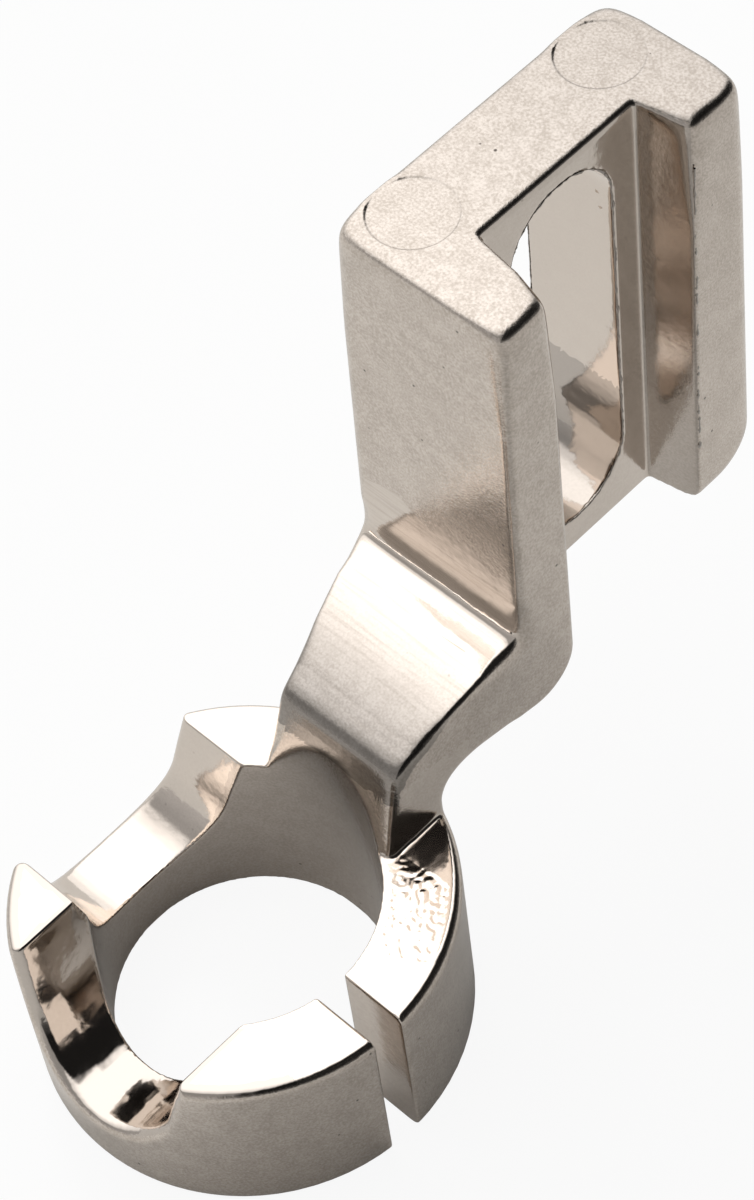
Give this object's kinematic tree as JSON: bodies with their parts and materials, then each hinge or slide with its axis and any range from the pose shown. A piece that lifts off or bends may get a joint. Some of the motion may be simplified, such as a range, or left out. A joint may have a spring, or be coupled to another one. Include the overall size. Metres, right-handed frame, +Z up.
{
  "type": "sewing machine presser foot",
  "caption": "Cast presser foot for free-motion sewing: a notched and slit needle ring on an elbowed arm, below a U-channel shank with a slot for the clamp screw.",
  "frame": {"origin": "on the needle axis, at the ring's sole", "axes": "+Z up along the needle, +Y to the back of the machine, +X to the right, the side that the shank's channel opens to"},
  "size_m": [0.0126, 0.0267, 0.0228],
  "materials": {
    "nickel": "bright nickel plate over a casting, with a fine satin grain on the upright faces and polished notches"
  },
  "bodies": {
    "root": {"presser_foot": "nickel"}
  },
  "joints": []
}
